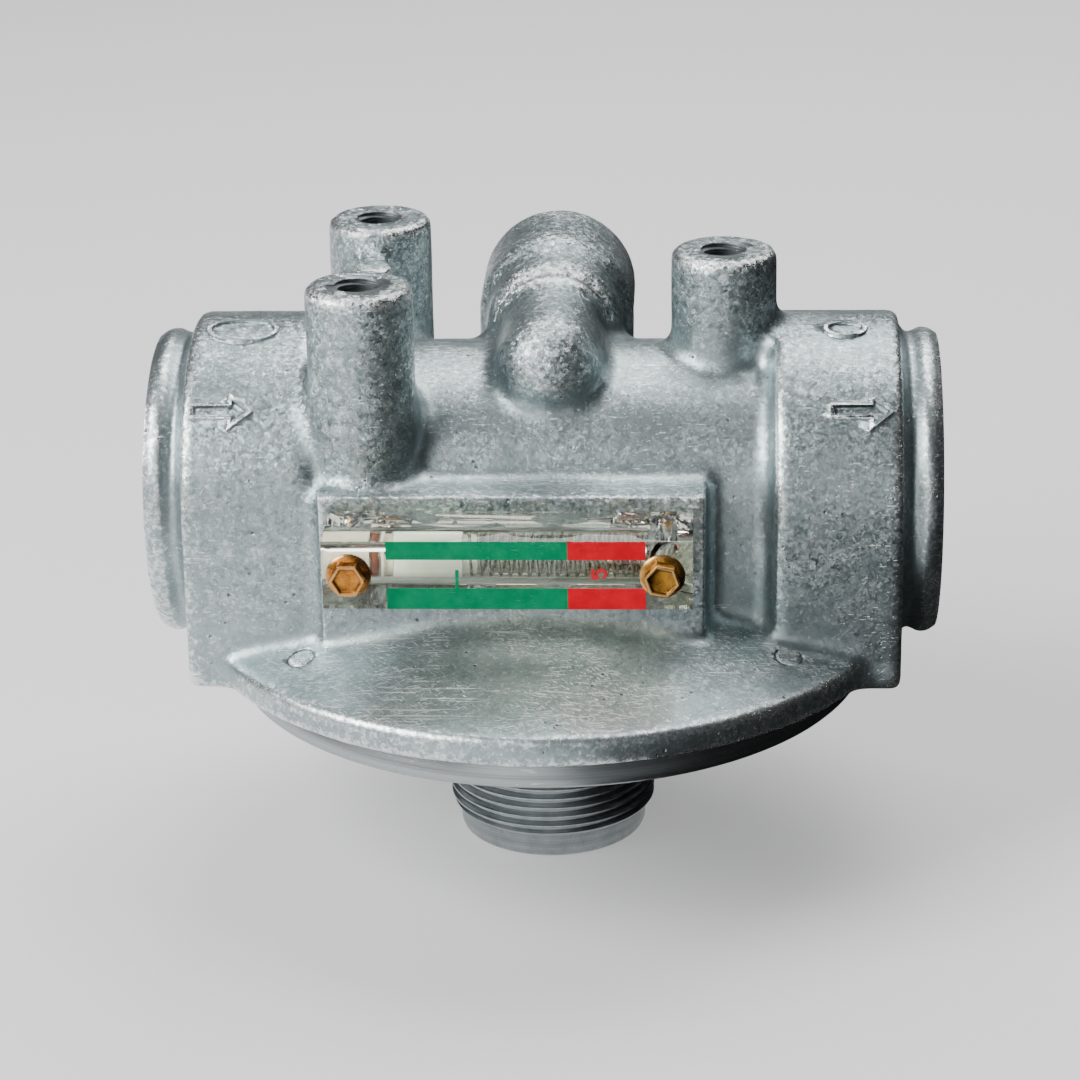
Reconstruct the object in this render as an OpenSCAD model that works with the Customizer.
// Spin-on filter head with a bypass valve and a differential pressure indicator.
// X runs with the flow, from the inlet to the outlet. The indicator faces -Y.
// Z = 0 is the lower end of the threaded spigot that holds the filter can.

/* [Flange and can joint] */
// Outside diameter of the cast flange
flange_d = 149.4; // [124:1:180]
// Height of the flange's edge
flange_edge_h = 6; // [4:0.5:9]
// Step from the cast edge in to the machined ring
ring_step = 7.4; // [4:0.2:12]
// Height of the machined ring below the flange
ring_h = 7.7; // [5:0.1:10]
// Diameter where the can's gasket face starts
chamber_d = 92; // [84:1:100]
// Outside diameter of the can thread
can_thread_d = 44.45; // [37:0.05:54]
// Wall of the spigot under its thread
spigot_wall = 4.72; // [3:0.1:7]
// Length of the spigot below the gasket face
spigot_drop = 39.5; // [33:0.5:48]
// Length of the plain lead at the spigot's lower end
spigot_lead_h = 6; // [3:0.5:9]
// Depth of the lead below the thread's crest
lead_step = 2.02; // [1:0.1:2.5]

/* [Ports] */
// Length over both port collars
port_span = 163; // [136:1:196]
// Height of the port axis above the gasket face
port_rise = 40.2; // [38:0.5:46]
// Diameter of the wall that the port thread is cut in
port_bore_d = 44.5; // [38:0.5:50]
// Depth of the port thread
port_thread_h = 28; // [20:1:32]
// Diameter of the passage behind the port thread
passage_d = 41; // [32:0.5:42]
// Outside diameter of the round collars
collar_d = 64.4; // [58:0.2:70]
// Width of a collar's lip
collar_lip_w = 4.4; // [3:0.2:6]
// Width of the groove between the lip and the block
collar_groove_w = 3.6; // [2:0.2:5]
// Depth of that groove
collar_groove_h = 1; // [0.6:0.2:3]
// Length of each port block along the flow
block_l = 26.2; // [20:0.2:32]
// Radius of the port block's round top, and half its width
block_r = 35.7; // [33:0.1:38]
// Height of the foot along the block's lower edge
block_foot_h = 4.4; // [2:0.2:6]
// Radius of the body between the port blocks
body_r = 29.75; // [27:0.25:33]
// Thickness of the wall between inlet and outlet
divider_w = 5; // [4:0.5:6]
// Lean of that wall from the vertical, in degrees
divider_lean = 30; // [26:1:34]

/* [Mounting bosses] */
// Diameter of each boss
boss_d = 21.9; // [19:0.1:24]
// Height of the boss tops above the port axis
boss_rise = 50.7; // [46:0.5:60]
// Distance of the two inlet bosses from the can axis
boss_inlet_x = 36.3; // [33:0.5:40]
// Spacing of the two inlet bosses
boss_pitch_y = 48.2; // [44:0.2:52]
// Distance of the outlet boss from the can axis
boss_outlet_x = 37.1; // [33:0.5:40]
// Diameter of the wall that the mounting thread is cut in
boss_bore_d = 8.5; // [6.8:0.1:10.2]
// Depth of that thread
boss_bore_h = 20; // [15:1:21]
// Width of the countersink at its mouth
boss_sink_w = 0.5; // [0.3:0.1:1.5]
// Diameter of the small lug between the inlet bosses
lug_d = 9; // [7:0.5:11]
// Height of the lug's top below the boss tops
lug_drop = 5.4; // [3:0.2:8]

/* [Bypass valve] */
// Height of the bypass axis above the port axis
bypass_rise = 30; // [28:0.5:34]
// Offset of the bypass axis from the can axis, towards the outlet
bypass_x = 1.3; // [0:0.1:2]
// Radius of the bypass housing's round nose
nose_r = 10.7; // [9.5:0.1:12]
// Distance from the can axis to the centre of the nose
nose_y = 12.4; // [10:0.2:15]
// Radius of the housing's middle step
housing_mid_r = 14.5; // [13.5:0.1:16]
// Radius of the housing's rear barrel
housing_r = 16.6; // [15.5:0.1:19]
// Distance from the can axis to the rear face
housing_rear_y = 44.9; // [42:0.1:54]
// Bore that the poppet moves in
valve_bore_d = 23; // [22:0.2:24.6]
// Opening in the valve seat
seat_bore_d = 13; // [10:0.5:15]
// Position of the seat behind the can axis
seat_y = 9; // [8:0.5:10]
// Diameter of the poppet's disc
poppet_d = 19; // [17:0.5:20]
// Thickness of the poppet's disc
poppet_h = 3; // [2:0.2:4]
// Diameter of the poppet's stem
stem_d = 5; // [4:0.2:6]
// Lift of the poppet when the bypass is fully open
poppet_lift = 6; // [4:0.5:7]
// Diameter of the bypass plug's thread
plug_thread_d = 26; // [25:0.1:27.5]
// Length of the bypass plug's thread
plug_thread_h = 13.5; // [12:0.5:16]
// Width across the flats of the bypass plug
plug_hex_af = 22; // [18:1:27]
// Height of the bypass plug's hexagon
plug_hex_h = 6; // [5:0.5:8]

/* [Indicator] */
// Length of the indicator's clear block
gauge_l = 73.3; // [68:0.1:78]
// Depth of the clear block, front to back
gauge_w = 16.3; // [15:0.1:20]
// Height of the clear block
gauge_h = 14.3; // [13:0.1:17]
// Bore that the indicator's piston moves in
gauge_bore_d = 8.6; // [7:0.1:9.6]
// Length of the piston
piston_l = 13.5; // [10:0.5:15]
// Distance from the block's left end to its left screw
screw_left_w = 5.3; // [5:0.1:7]
// Distance from the block's right end to its right screw
screw_right_w = 6; // [5:0.1:7]
// Diameter of their shanks
gauge_screw_d = 4.1; // [3:0.1:4.2]
// Diameter of the washer that is part of each screw's head
gauge_washer_d = 9; // [7.5:0.1:10]
// Width across the corners of each screw's hexagon
gauge_hex_ac = 7.3; // [6:0.1:8]
// Distance from the can axis to the pad that the block is screwed to
pad_front_y = 38.5; // [37:0.1:44]

/* [Hidden] */

$fn = 96;

// Clearances: parts that slide, parts that are screwed or pushed in, and overlap of cuts
running_fit = 0.08;
thread_fit = 0.05;
seal_gap = 0.03;
rest_gap = 0.1;
cut = 1;

// Heights that follow from the can joint and the ports
gasket_z = spigot_drop;
flange_z = gasket_z + ring_h;
flange_top_z = flange_z + flange_edge_h;
port_z = gasket_z + port_rise;
boss_z = port_z + boss_rise;
bypass_z = port_z + bypass_rise;

flange_r = flange_d / 2;
ring_r = flange_r - ring_step;
chamber_r = chamber_d / 2;

// The flange's top falls in two slopes from the body to the edge
crown_r = 38.5;
crown_z = flange_top_z + 10.5;
slope_r = 51.3;
slope_z = flange_top_z + 6;
chamber_z = flange_top_z + 1.5;
chamber_slope_w = 5;

// Threaded spigot
can_thread_r = can_thread_d / 2;
spigot_bore_r = can_thread_r - spigot_wall;
hub_r = can_thread_r + 5.3;
hub_z = gasket_z + 4.5;
spigot_top_z = flange_top_z + 9;
lead_chamfer = 0.6;
relief_w = 2;
relief_h = 1.5;

// Port blocks, from the collars inwards
port_end_x = port_span / 2;
block_out_x = port_end_x - collar_lip_w - collar_groove_w;
block_in_x = block_out_x - block_l;
block_base_z = flange_z - 0.5;
block_foot_out = 0.6;
collar_chamfer = 0.8;
collar_shoulder_h = 0.6;
passage_r = passage_d / 2;

// The dividing wall leans over the spigot's bore
divider_x = -spigot_bore_r - 9;
divider_z = port_z - passage_r;
inlet_drop_l = 17;
inlet_drop_w = 32;
drop_gap = 2;

// Bypass housing and its two drillings into the inlet and outlet sides
nose_cyl_y = 5.8;
mid_y = 11.7;
barrel_y = 21;
bypass_in_y = -3;
bypass_in_d = 8.4;
bypass_in_x = divider_x + 2 * passage_r * tan(divider_lean) - bypass_in_d / 4;
bypass_out_x = 8.5;
bypass_out_y = 18;
bypass_out_d = 10;
bypass_in_z = port_z + passage_r - 3;
bypass_out_z = port_z + 8;

// Bypass plug, its groove and ring
plug_in_y = housing_rear_y - plug_thread_h;
plug_groove_w = 2.4;
plug_groove_h = 1.9;
plug_groove_y = housing_rear_y - 2.2 - plug_groove_w;
plug_collar_h = 1.5;
plug_collar_r = plug_thread_d / 2 + 1.8;
valve_bore_r = valve_bore_d / 2;
plug_bore_r = plug_thread_d / 2 + thread_fit;
stem_end_y = plug_in_y + 4.5;
guide_end_y = stem_end_y + poppet_lift + 1;
bypass_wire_r = 0.9;
bypass_coil_r = 7;
bypass_turns = 6;

// Indicator block on its pad
gauge_x = -5.75;
gauge_left_x = gauge_x - gauge_l / 2;
gauge_right_x = gauge_x + gauge_l / 2;
gauge_z = port_z + 0.35;
gauge_back_y = -pad_front_y;
gauge_front_y = gauge_back_y - gauge_w;
gauge_axis_y = (gauge_back_y + gauge_front_y) / 2;
screw_left_x = gauge_left_x + screw_left_w;
screw_right_x = gauge_right_x - screw_right_w;
gauge_bore_r = gauge_bore_d / 2;
screw_r = gauge_screw_d / 2;
screw_hole_r = screw_r + 0.15;
screw_hold_h = 9;
pad_left_x = gauge_left_x - 2.4;
pad_right_x = gauge_right_x + 2.5;
pad_top_z = gauge_z + gauge_h / 2 + 3.2;

// Inside the block, from the left: plug, ring, nose, piston, spring, end of the bore
plug_ring_x = screw_left_x + 4.1;
plug_ring_w = 2.4;
plug_ring_h = 1.6;
plug_lip_w = 0.6;
plug_nose_r = gauge_bore_r - 1.3;
plug_nose_l = 1.8;
plug_nose_x = plug_ring_x + plug_ring_w + plug_lip_w;
piston_x = plug_nose_x + plug_nose_l + rest_gap;
piston_end_x = piston_x + piston_l;
bore_end_x = screw_right_x - screw_hole_r - 1.2;
spring_wire_r = 0.3;
spring_coil_r = gauge_bore_r - 0.75;
spring_pitch = 1.93;
spring_stub_r = gauge_bore_r - 1.6;
spring_stub_l = 3;

// Pressure ports, one at each end of the bore
port_in_x = plug_nose_x + plug_nose_l / 2;
port_out_x = bore_end_x - 3.8;
pressure_bore_r = 0.8;
port_ring_r = 1.1;
port_ring_mean_r = 2.65;
port_pocket_r = port_ring_mean_r + port_ring_r + 0.15;
port_pocket_h = 2 * port_ring_r - seal_gap;

// Coloured films and marks on the front of the block
film_h = 0.15;
film_left_x = gauge_left_x + 12.8;
film_right_x = gauge_right_x - 9.3;
film_join_x = film_left_x + 0.7 * (film_right_x - film_left_x);
film_top_z = gauge_z + gauge_h / 2;
film_low_z = gauge_z - gauge_h / 2;
upper_film_w = 3.8;
lower_film_w = 4.4;
tick_w = 0.7;
tick_h = 3.9;
tick_x = piston_end_x - 1;
numeral_x = film_join_x + 6.2;
numeral_z = gauge_z + 0.4;
numeral_w = 2.2;
numeral_h = 3.1;
numeral_stroke = 0.55;

// A bar along X, from x = from to x = to
module x_bar(from, to, r) {
    translate([from, 0, 0]) rotate([0, 90, 0]) cylinder(h = to - from, r = r);
}

// A bar along Y, from y = from to y = to
module y_bar(from, to, r1, r2) {
    translate([0, from, 0]) rotate([-90, 0, 0]) cylinder(h = to - from, r1 = r1, r2 = r2);
}

// A box between two corners
module box(low, high) {
    translate(low) cube(high - low);
}

// A ring of round section about Z
module o_ring(mean_r, section_r) {
    rotate_extrude() translate([mean_r, 0]) circle(r = section_r, $fn = 32);
}

// A coil of round wire about Z, from z = 0, with its ends lying on the end planes
function coil_point(a, mean_r, turns, height, wire_r) = [
    mean_r * cos(360 * turns * a),
    mean_r * sin(360 * turns * a),
    wire_r + (height - 2 * wire_r) * a
];
module coil(mean_r, turns, height, wire_r, steps, sides) {
    rings = turns * steps;
    points = [
        for (i = [0 : rings])
            let (
                a = i / rings,
                p = coil_point(a, mean_r, turns, height, wire_r),
                turn = 360 * turns * a
            )
            for (j = [0 : sides - 1])
                p + wire_r * [
                    cos(turn) * cos(360 * j / sides),
                    sin(turn) * cos(360 * j / sides),
                    sin(360 * j / sides)
                ]
    ];
    walls = [
        for (i = [0 : rings - 1])
            for (j = [0 : sides - 1])
                [
                    i * sides + j,
                    i * sides + (j + 1) % sides,
                    (i + 1) * sides + (j + 1) % sides,
                    (i + 1) * sides + j
                ]
    ];
    first = [for (j = [sides - 1 : -1 : 0]) j];
    last = [for (j = [0 : sides - 1]) rings * sides + j];
    polyhedron(points = points, faces = concat(walls, [first, last]), convexity = 10);
}

// Half space on the inlet side (side = -1) or the outlet side (side = 1) of the dividing wall
module divided(side) {
    reach = port_span;
    offset_x = side > 0 ? divider_w / cos(divider_lean) : 0;
    intersection() {
        children();
        translate([divider_x + offset_x, 0, divider_z])
            rotate([0, divider_lean, 0])
                translate([side > 0 ? 0 : -reach, -reach / 2, -reach / 2])
                    cube(reach);
    }
}

// Cast flange with its machined ring, before the chamber is hollowed
module flange_body() {
    rotate_extrude()
        polygon([
            [0, gasket_z], [ring_r, gasket_z], [ring_r, flange_z], [flange_r, flange_z],
            [flange_r, flange_top_z], [slope_r, slope_z], [crown_r, crown_z], [0, crown_z]
        ]);
}

// Ring-shaped chamber that feeds the outside of the filter can
module can_chamber() {
    rotate_extrude()
        polygon([
            [0, gasket_z - cut], [chamber_r, gasket_z - cut],
            [chamber_r, chamber_z - chamber_slope_w], [chamber_r - chamber_slope_w, chamber_z],
            [hub_r, chamber_z], [hub_r, hub_z], [0, hub_z]
        ]);
}

// One port block with its foot, and its round collar
module port_block() {
    translate([0, 0, port_z]) x_bar(block_in_x, block_out_x, block_r);
    box([block_in_x, -block_r, block_base_z], [block_out_x, block_r, port_z]);
    foot_r = block_r + block_foot_out;
    box([block_in_x, -foot_r, block_base_z], [block_out_x, foot_r, block_base_z + block_foot_h]);
    collar_r = collar_d / 2;
    groove_x = block_out_x + collar_groove_w;
    translate([block_out_x, 0, port_z])
        rotate([0, 90, 0])
            rotate_extrude()
                polygon([
                    [0, -cut], [collar_r, -cut], [collar_r + collar_shoulder_h, 0],
                    [collar_r - collar_groove_h, collar_groove_w * 0.4],
                    [collar_r - collar_groove_h, collar_groove_w * 0.7],
                    [collar_r, groove_x - block_out_x],
                    [collar_r, port_end_x - block_out_x - collar_chamfer],
                    [collar_r - collar_chamfer, port_end_x - block_out_x],
                    [0, port_end_x - block_out_x]
                ]);
}

// Bypass housing: round nose, two steps and the barrel that takes the plug
module bypass_housing() {
    translate([bypass_x, 0, bypass_z]) {
        translate([0, -nose_y, 0]) sphere(r = nose_r);
        y_bar(-nose_y, nose_cyl_y, nose_r, nose_r);
        y_bar(nose_cyl_y, mid_y, nose_r, housing_mid_r);
        y_bar(mid_y, barrel_y, housing_mid_r, housing_mid_r);
        y_bar(barrel_y, housing_rear_y, housing_r, housing_r);
    }
    box([bypass_x - housing_r, barrel_y, port_z], [bypass_x + housing_r, body_r - 3, bypass_z]);
}

// Outside of the casting, before anything is bored
module head_outside() {
    flange_body();
    translate([0, 0, port_z]) x_bar(-block_in_x - cut, block_in_x + cut, body_r);
    box([-block_in_x - cut, -body_r, flange_top_z], [block_in_x + cut, body_r, port_z]);
    port_block();
    mirror([1, 0, 0]) port_block();
    for (side = [-1, 1])
        translate([-boss_inlet_x, side * boss_pitch_y / 2, port_z])
            cylinder(h = boss_rise, d = boss_d);
    translate([boss_outlet_x, 0, port_z]) cylinder(h = boss_rise, d = boss_d);
    translate([-boss_inlet_x, 7, port_z]) cylinder(h = boss_rise - lug_drop, d = lug_d);
    bypass_housing();
    box([pad_left_x, gauge_back_y, flange_top_z], [pad_right_x, 0, pad_top_z]);
}

// A tapped hole with a countersunk mouth, going down from z = 0
module boss_hole() {
    sink_r = boss_bore_d / 2 + boss_sink_w;
    translate([0, 0, -boss_bore_h]) cylinder(h = boss_bore_h + cut, d = boss_bore_d);
    translate([0, 0, -boss_sink_w]) cylinder(h = boss_sink_w + cut, r1 = boss_bore_d / 2, r2 = sink_r + cut);
}

// Everything on the inlet side: port, passage, drop to the can chamber, way to the valve seat
module inlet_side() {
    translate([0, 0, port_z]) x_bar(-port_end_x - cut, -port_end_x + port_thread_h, port_bore_d / 2);
    divided(-1) translate([0, 0, port_z]) x_bar(-port_end_x, 2 * passage_r, passage_r);
    drop_x = divider_x - drop_gap;
    box([drop_x - inlet_drop_l, -inlet_drop_w / 2, chamber_z - chamber_slope_w],
        [drop_x, inlet_drop_w / 2, port_z]);
    translate([bypass_in_x, bypass_in_y, bypass_in_z])
        cylinder(h = bypass_z - bypass_in_z, d = bypass_in_d);
    translate([bypass_x, 0, bypass_z]) y_bar(-nose_y, seat_y + cut, seat_bore_d / 2, seat_bore_d / 2);
}

// Everything on the outlet side: spigot's bore, passage, port, way from the valve bore
module outlet_side() {
    translate([0, 0, port_z]) x_bar(port_end_x - port_thread_h, port_end_x + cut, port_bore_d / 2);
    divided(1) {
        translate([0, 0, port_z]) x_bar(-2 * passage_r, port_end_x, passage_r);
        translate([0, 0, spigot_top_z - cut])
            cylinder(h = port_z - spigot_top_z + cut, r = spigot_bore_r);
    }
    translate([bypass_out_x, bypass_out_y, bypass_out_z])
        cylinder(h = bypass_z - bypass_out_z, d = bypass_out_d);
    translate([bypass_x, 0, bypass_z]) {
        y_bar(seat_y, housing_rear_y + cut, valve_bore_r, valve_bore_r);
        y_bar(plug_in_y - 1, housing_rear_y + cut, plug_bore_r, plug_bore_r);
    }
}

// Holes in the pad: two for the block's screws and one from each side of the flow
module pad_holes() {
    hold_r = screw_r + thread_fit;
    for (x = [screw_left_x, screw_right_x])
        translate([x, 0, gauge_z])
            y_bar(gauge_back_y - cut, gauge_back_y + screw_hold_h, hold_r, hold_r);
    for (x = [port_in_x, port_out_x])
        translate([x, 0, gauge_z])
            y_bar(gauge_back_y - cut, -passage_r + 2, pressure_bore_r, pressure_bore_r);
}

module head_casting() {
    color("darkgray")
        difference() {
            head_outside();
            can_chamber();
            translate([0, 0, hub_z - cut])
                cylinder(h = spigot_top_z - hub_z + cut, r = can_thread_r + thread_fit);
            inlet_side();
            outlet_side();
            for (side = [-1, 1])
                translate([-boss_inlet_x, side * boss_pitch_y / 2, boss_z]) boss_hole();
            translate([boss_outlet_x, 0, boss_z]) boss_hole();
            pad_holes();
        }
}

// Threaded pipe: plain lead, can thread, a relief groove where it enters the hub, and its held end
module can_spigot() {
    lead_r = can_thread_r - lead_step;
    color("dimgray")
        rotate_extrude()
            polygon([
                [spigot_bore_r, 0], [lead_r - lead_chamfer, 0], [lead_r, lead_chamfer],
                [lead_r, spigot_lead_h], [can_thread_r, spigot_lead_h],
                [can_thread_r, hub_z - relief_w], [can_thread_r - relief_h, hub_z - relief_w],
                [can_thread_r - relief_h, hub_z], [can_thread_r, hub_z],
                [can_thread_r, spigot_top_z - rest_gap], [spigot_bore_r, spigot_top_z - rest_gap]
            ]);
}

module bypass_plug() {
    color("silver")
        translate([bypass_x, 0, bypass_z])
            difference() {
                union() {
                    y_bar(plug_in_y, housing_rear_y, plug_thread_d / 2, plug_thread_d / 2);
                    y_bar(housing_rear_y, housing_rear_y + plug_collar_h, plug_collar_r, plug_collar_r);
                    translate([0, housing_rear_y + plug_collar_h, 0])
                        rotate([-90, 0, 0])
                            cylinder(h = plug_hex_h, d = plug_hex_af / cos(30), $fn = 6);
                }
                y_bar(plug_in_y - cut, guide_end_y, stem_d / 2 + running_fit, stem_d / 2 + running_fit);
                translate([0, plug_groove_y, 0])
                    rotate([-90, 0, 0])
                        difference() {
                            cylinder(h = plug_groove_w, d = plug_thread_d + cut);
                            translate([0, 0, -cut])
                                cylinder(h = plug_groove_w + 2 * cut, r = plug_thread_d / 2 - plug_groove_h);
                        }
            }
}

module bypass_plug_o_ring() {
    section_r = (plug_groove_h + thread_fit) / 2 - seal_gap;
    color("black")
        translate([bypass_x, plug_groove_y + plug_groove_w / 2, bypass_z])
            rotate([-90, 0, 0])
                o_ring(plug_thread_d / 2 + thread_fit - seal_gap - section_r, section_r);
}

module bypass_poppet() {
    face_y = seat_y + rest_gap;
    color("goldenrod")
        translate([bypass_x, 0, bypass_z]) {
            y_bar(face_y, face_y + poppet_h, poppet_d / 2, poppet_d / 2);
            y_bar(face_y + poppet_h, stem_end_y, stem_d / 2, stem_d / 2);
        }
}

module bypass_spring() {
    start_y = seat_y + rest_gap + poppet_h;
    color("lightgray")
        translate([bypass_x, start_y, bypass_z])
            rotate([-90, 0, 0])
                coil(bypass_coil_r, bypass_turns, plug_in_y - start_y, bypass_wire_r, 20, 6);
}

module indicator_block() {
    color([0.85, 0.9, 0.88, 0.4])
        difference() {
            box([gauge_left_x, gauge_front_y, gauge_z - gauge_h / 2],
                [gauge_right_x, gauge_back_y, gauge_z + gauge_h / 2]);
            translate([0, gauge_axis_y, gauge_z])
                x_bar(gauge_left_x - cut, bore_end_x, gauge_bore_r);
            for (x = [screw_left_x, screw_right_x])
                translate([x, 0, gauge_z])
                    y_bar(gauge_front_y - cut, gauge_back_y + cut, screw_hole_r, screw_hole_r);
            for (x = [port_in_x, port_out_x])
                translate([x, 0, gauge_z]) {
                    y_bar(gauge_axis_y, gauge_back_y + cut, pressure_bore_r, pressure_bore_r);
                    y_bar(gauge_back_y - port_pocket_h, gauge_back_y + cut, port_pocket_r, port_pocket_r);
                }
        }
}

module indicator_piston() {
    piston_r = gauge_bore_r - running_fit;
    color("white")
        translate([0, gauge_axis_y, gauge_z]) {
            x_bar(piston_x, piston_end_x, piston_r);
            x_bar(piston_end_x, piston_end_x + spring_stub_l, spring_stub_r);
        }
}

module indicator_spring() {
    room = bore_end_x - piston_end_x;
    turns = round(room / spring_pitch);
    color("lightgray")
        translate([piston_end_x, gauge_axis_y, gauge_z])
            rotate([0, 90, 0])
                coil(spring_coil_r, turns, room, spring_wire_r, 16, 6);
}

module indicator_end_plug() {
    plug_r = gauge_bore_r - thread_fit;
    color("ivory")
        difference() {
            translate([0, gauge_axis_y, gauge_z]) {
                x_bar(gauge_left_x + 0.4, plug_ring_x, plug_r);
                x_bar(plug_ring_x, plug_ring_x + plug_ring_w, plug_r - plug_ring_h);
                x_bar(plug_ring_x + plug_ring_w, plug_nose_x, plug_r);
                x_bar(plug_nose_x, plug_nose_x + plug_nose_l, plug_nose_r);
            }
            translate([screw_left_x, 0, gauge_z])
                y_bar(gauge_front_y, gauge_back_y, screw_hole_r, screw_hole_r);
        }
}

module indicator_plug_o_ring() {
    section_r = (plug_ring_h + thread_fit) / 2 - seal_gap;
    color("saddlebrown")
        translate([plug_ring_x + plug_ring_w / 2, gauge_axis_y, gauge_z])
            rotate([0, 90, 0])
                o_ring(gauge_bore_r - seal_gap - section_r, section_r);
}

module port_o_ring(x) {
    color("saddlebrown")
        translate([x, gauge_back_y - port_pocket_h / 2, gauge_z])
            rotate([90, 0, 0])
                o_ring(port_ring_mean_r, port_ring_r - seal_gap);
}

module inlet_port_o_ring() {
    port_o_ring(port_in_x);
}

module outlet_port_o_ring() {
    port_o_ring(port_out_x);
}

// Hexagon screw with a washer face, its head indented
module indicator_screw(x) {
    washer_h = 1;
    hex_h = 2.4;
    dish_r = 2.1;
    dish_h = 0.6;
    head_y = gauge_front_y - washer_h;
    translate([x, 0, gauge_z])
        difference() {
            union() {
                y_bar(gauge_front_y, gauge_back_y + screw_hold_h - 1, screw_r, screw_r);
                y_bar(head_y, gauge_front_y, gauge_washer_d / 2, gauge_washer_d / 2);
                translate([0, head_y, 0])
                    rotate([90, 0, 0])
                        cylinder(h = hex_h, d = gauge_hex_ac, $fn = 6);
            }
            y_bar(head_y - hex_h - cut, head_y - hex_h + dish_h, dish_r, dish_r);
        }
}

module indicator_screw_left() {
    color("peru") indicator_screw(screw_left_x);
}

module indicator_screw_right() {
    color("goldenrod") indicator_screw(screw_right_x);
}

// A film on the front of the block
module film(from_x, to_x, from_z, to_z) {
    box([from_x, gauge_front_y - film_h, from_z], [to_x, gauge_front_y, to_z]);
}

module upper_green_strip() {
    color("seagreen") film(film_left_x, film_join_x, film_top_z - upper_film_w, film_top_z);
}

module upper_red_strip() {
    color("crimson") film(film_join_x, film_right_x, film_top_z - upper_film_w, film_top_z);
}

module lower_green_strip() {
    color("seagreen") film(film_left_x, film_join_x, film_low_z, film_low_z + lower_film_w);
}

module lower_red_strip() {
    color("crimson") film(film_join_x, film_right_x, film_low_z, film_low_z + lower_film_w);
}

module scale_tick() {
    low_z = film_low_z + lower_film_w;
    color("seagreen") film(tick_x - tick_w / 2, tick_x + tick_w / 2, low_z, low_z + tick_h);
}

// The figure 5, lying on its back: a bar, a stem and an open bowl
module figure_five() {
    bowl_r = numeral_w / 2;
    translate([-numeral_w / 2, numeral_h / 2 - numeral_stroke]) square([numeral_w, numeral_stroke]);
    translate([-numeral_w / 2, 0]) square([numeral_stroke, numeral_h / 2]);
    translate([0, bowl_r - numeral_h / 2])
        difference() {
            circle(r = bowl_r, $fn = 48);
            circle(r = bowl_r - numeral_stroke, $fn = 48);
            translate([-numeral_w, -bowl_r * 0.3]) square([numeral_w, bowl_r * 0.9]);
        }
}

module scale_numeral() {
    color("crimson")
        translate([numeral_x, gauge_front_y, numeral_z])
            rotate([90, 0, 0])
                rotate([0, 0, 90])
                    linear_extrude(film_h) figure_five();
}

head_casting();
can_spigot();
bypass_plug();
bypass_plug_o_ring();
bypass_poppet();
bypass_spring();
indicator_block();
indicator_piston();
indicator_spring();
indicator_end_plug();
indicator_plug_o_ring();
inlet_port_o_ring();
outlet_port_o_ring();
indicator_screw_left();
indicator_screw_right();
upper_green_strip();
upper_red_strip();
lower_green_strip();
lower_red_strip();
scale_tick();
scale_numeral();
